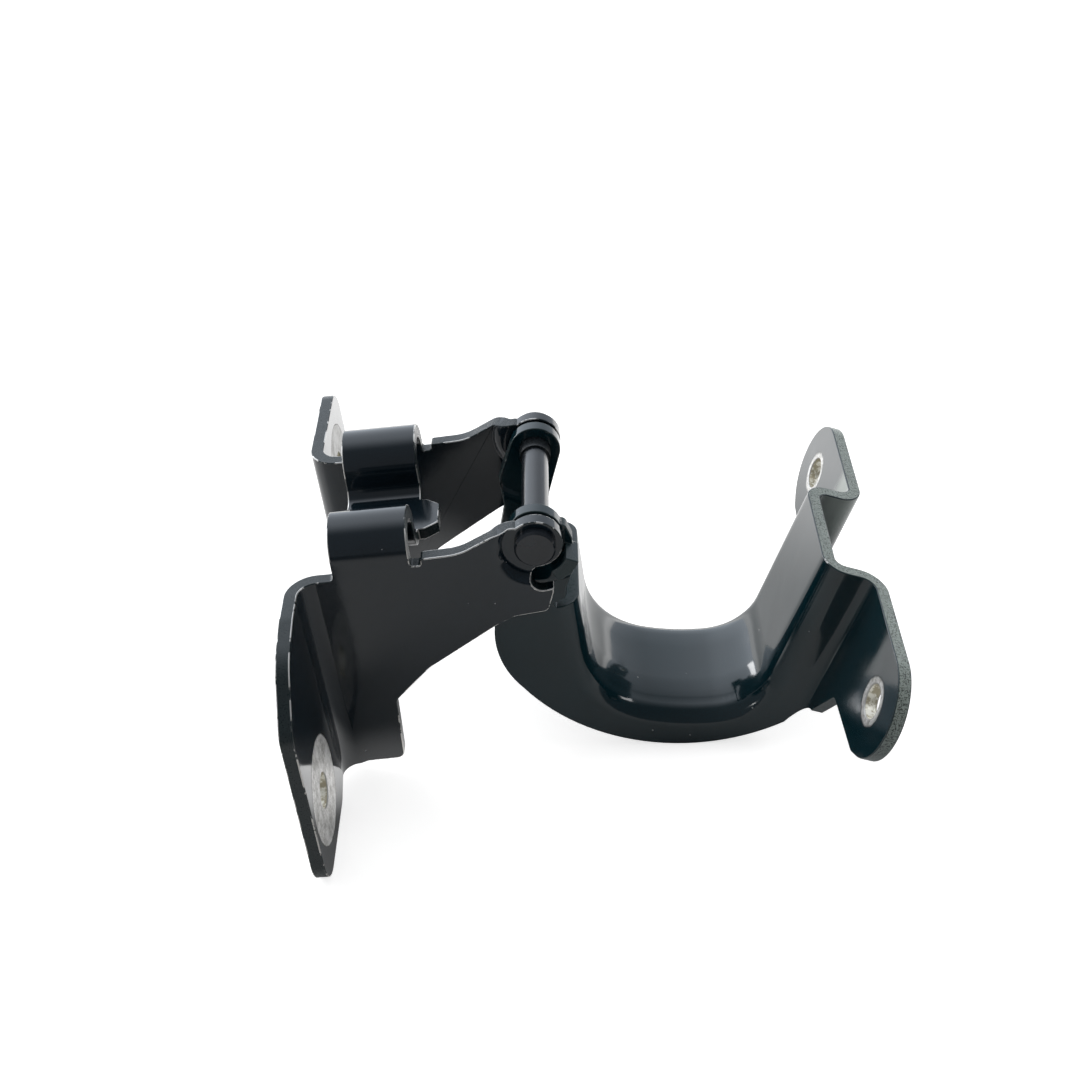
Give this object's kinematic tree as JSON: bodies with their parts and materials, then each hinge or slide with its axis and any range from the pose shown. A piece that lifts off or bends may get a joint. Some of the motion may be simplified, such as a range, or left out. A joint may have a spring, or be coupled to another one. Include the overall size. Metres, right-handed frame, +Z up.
{
  "type": "flap hinge",
  "caption": "Goose-neck hinge for a convertible top flap: a flanged body bracket and a curved channel arm joined by a riveted pin.",
  "frame": {"origin": "centre of the base, on the floor that the hinge stands on as pictured", "axes": "+X from the body flanges to the flap flanges, +Z up, the pin lies along Y with its head on the -Y side"},
  "size_m": [0.1726, 0.1539, 0.0919],
  "materials": {
    "bracket_coat": "glossy dark dip coat",
    "arm_coat": "glossy dark dip coat",
    "pin_steel": "polished steel shank",
    "washer_steel": "dark steel",
    "bush_metal": "dark lined steel"
  },
  "bodies": {
    "bracket": {"body_bracket": "bracket_coat", "hinge_pin": "pin_steel", "tail_washer": "washer_steel"},
    "arm": {"lid_arm": "arm_coat", "near_bush": "bush_metal", "far_bush": "bush_metal"}
  },
  "joints": [
    {"name": "flap_swing", "type": "hinge", "parent": "bracket", "child": "arm", "pos_m": [-0.01514, 0.00198, 0.08413], "axis": [0, -1, 0], "range_deg": [-30, 77]}
  ]
}
